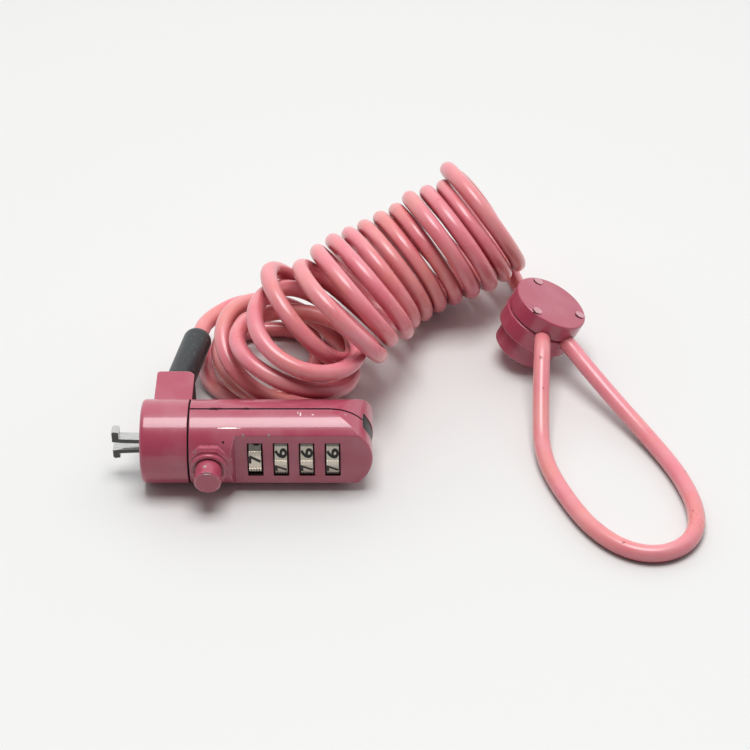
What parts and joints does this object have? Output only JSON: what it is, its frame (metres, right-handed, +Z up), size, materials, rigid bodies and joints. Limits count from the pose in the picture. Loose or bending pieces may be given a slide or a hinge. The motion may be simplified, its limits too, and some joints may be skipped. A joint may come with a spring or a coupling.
{
  "type": "laptop cable lock",
  "caption": "Laptop cable lock: dial-coded lock barrel with push button and hooked head on a swivel collar, coiled steel cable, riveted end cap and cable loop.",
  "frame": {"origin": "on the table under the middle of the lock itself (barrel, head and ear, without cable)", "axes": "+X along the lock's axis from the hooks to the closed end, +Y away from the button and the dial windows, +Z up from the table"},
  "size_m": [0.1561, 0.1454, 0.0445],
  "materials": {
    "lacquer": "glossy lacquer",
    "cable_jacket": "smooth PVC over steel cable",
    "boot_rubber": "matt",
    "jaw_steel": "ground",
    "inner_steel": "machined",
    "spring_steel": "drawn wire",
    "dial_nickel": "satin nickel plate",
    "gate_brass": "machined",
    "insert_black": "fine grain",
    "rivet_metal": "worn lacquer"
  },
  "bodies": {
    "cable_side": {"swivel_collar": "lacquer", "cable_boot": "boot_rubber", "cable_ferrule": "inner_steel", "coil_cord": "cable_jacket", "loop_cord": "cable_jacket", "cap_top_disc": "lacquer", "cap_middle_ring": "lacquer", "cap_base": "lacquer", "cap_rivets": "rivet_metal"},
    "lock_body": {"front_housing": "lacquer", "rear_housing": "lacquer", "end_insert": "insert_black", "case_rivets": "inner_steel", "head_sleeve": "inner_steel", "collar_ring": "inner_steel", "jaw_carrier": "inner_steel", "jaw_pins": "inner_steel", "dial_spindle": "inner_steel", "detent_spring": "spring_steel", "button_spring": "spring_steel"},
    "dial_body_1": {"dial_1": "dial_nickel", "gate_sleeve_1": "gate_brass"},
    "dial_body_2": {"dial_2": "dial_nickel", "gate_sleeve_2": "gate_brass"},
    "dial_body_3": {"dial_3": "dial_nickel", "gate_sleeve_3": "gate_brass"},
    "dial_body_4": {"dial_4": "dial_nickel", "gate_sleeve_4": "gate_brass"},
    "button": {"release_button": "lacquer"},
    "upper_hook": {"upper_jaw": "jaw_steel"},
    "lower_hook": {"lower_jaw": "jaw_steel"}
  },
  "joints": [
    {"name": "lock_turn", "type": "hinge", "parent": "cable_side", "child": "lock_body", "pos_m": [0, -0.00325, 0.0112], "axis": [1, 0, 0], "continuous": true},
    {"name": "dial_1_turn", "type": "hinge", "parent": "lock_body", "child": "dial_body_1", "pos_m": [0, -0.00325, 0.0112], "axis": [1, 0, 0], "continuous": true},
    {"name": "dial_2_turn", "type": "hinge", "parent": "lock_body", "child": "dial_body_2", "pos_m": [0, -0.00325, 0.0112], "axis": [1, 0, 0], "continuous": true},
    {"name": "dial_3_turn", "type": "hinge", "parent": "lock_body", "child": "dial_body_3", "pos_m": [0, -0.00325, 0.0112], "axis": [1, 0, 0], "continuous": true},
    {"name": "dial_4_turn", "type": "hinge", "parent": "lock_body", "child": "dial_body_4", "pos_m": [0, -0.00325, 0.0112], "axis": [1, 0, 0], "continuous": true},
    {"name": "button_press", "type": "slide", "parent": "lock_body", "child": "button", "axis": [0, 1, 0], "range_m": [0, 0.0025], "stiffness_N_per_m": 800, "springref_m": -0.002, "deforming": ["button_spring"]},
    {"name": "upper_hook_swing", "type": "hinge", "parent": "lock_body", "child": "upper_hook", "pos_m": [-0.01925, -0.00325, 0.01295], "axis": [0, 1, 0], "range_deg": [-4.2, 0]},
    {"name": "lower_hook_swing", "type": "hinge", "parent": "lock_body", "child": "lower_hook", "pos_m": [-0.01925, -0.00325, 0.00825], "axis": [0, 1, 0], "range_deg": [0, 4.2]}
  ],
  "couplings": [
    {"joint": "upper_hook_swing", "follows": "button_press", "rad_per_m": -27.5},
    {"joint": "lower_hook_swing", "follows": "button_press", "rad_per_m": 27.5}
  ]
}
